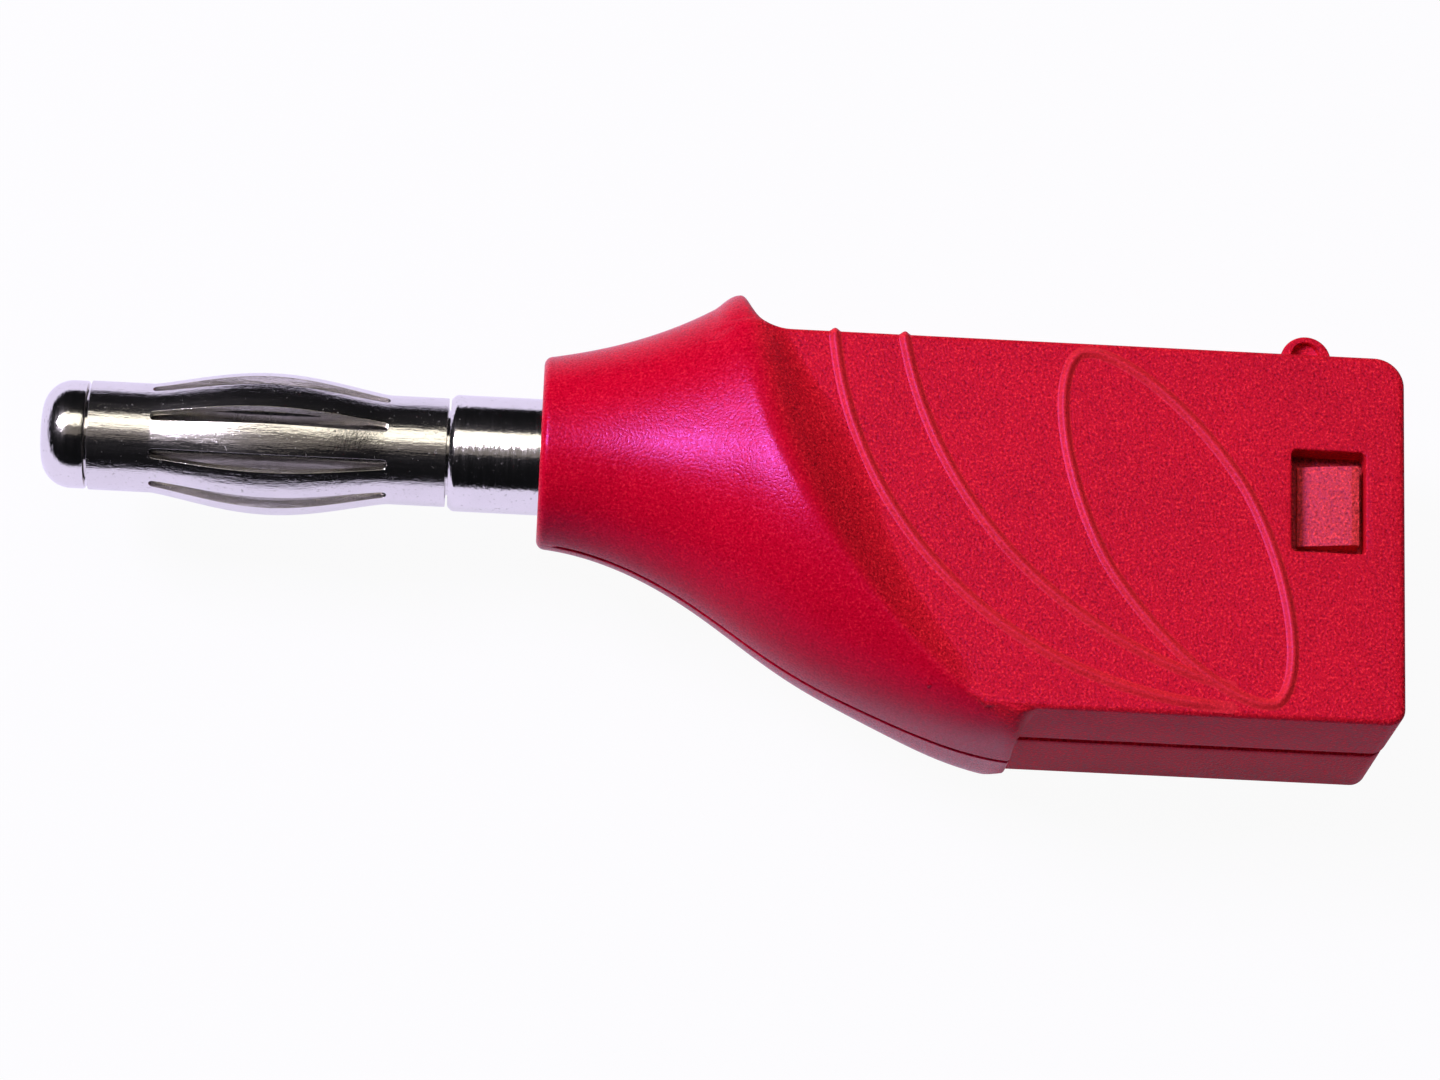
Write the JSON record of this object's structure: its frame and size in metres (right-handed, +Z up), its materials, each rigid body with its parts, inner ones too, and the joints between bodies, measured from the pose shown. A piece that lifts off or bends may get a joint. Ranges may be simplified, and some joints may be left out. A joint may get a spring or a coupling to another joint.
{
  "type": "banana plug",
  "caption": "Stackable banana plug of the 4 mm system: nickel-plated pin with a slotted bowed spring sleeve in a flat red moulded housing with a slanting finger ridge and latch windows",
  "frame": {"origin": "middle of the underside of the whole plug's box, level with the lowest point of the ridge", "axes": "+X from the pin's tip back to the rear face, +Y across the flat body towards the short side of the ridge, +Z up through the thickness of the body"},
  "size_m": [0.045, 0.0152, 0.0104],
  "materials": {
    "red_housing": "fine spark-eroded texture on the flat body, smoother satin on the neck",
    "red_insert": "fine texture, slightly lighter red",
    "nickel_pin": "bright nickel plating on turned brass",
    "nickel_sleeve": "bright nickel plating on spring metal, fine marks along its length",
    "nickel_block": "satin nickel plating",
    "nickel_socket": "satin nickel plating",
    "steel_screw": "bare machined steel"
  },
  "bodies": {
    "root": {"housing": "red_housing", "rear_insert": "red_insert", "contact_pin": "nickel_pin", "spring_sleeve": "nickel_sleeve", "terminal_block": "nickel_block", "rear_socket": "nickel_socket", "clamp_screw": "steel_screw"}
  },
  "joints": []
}
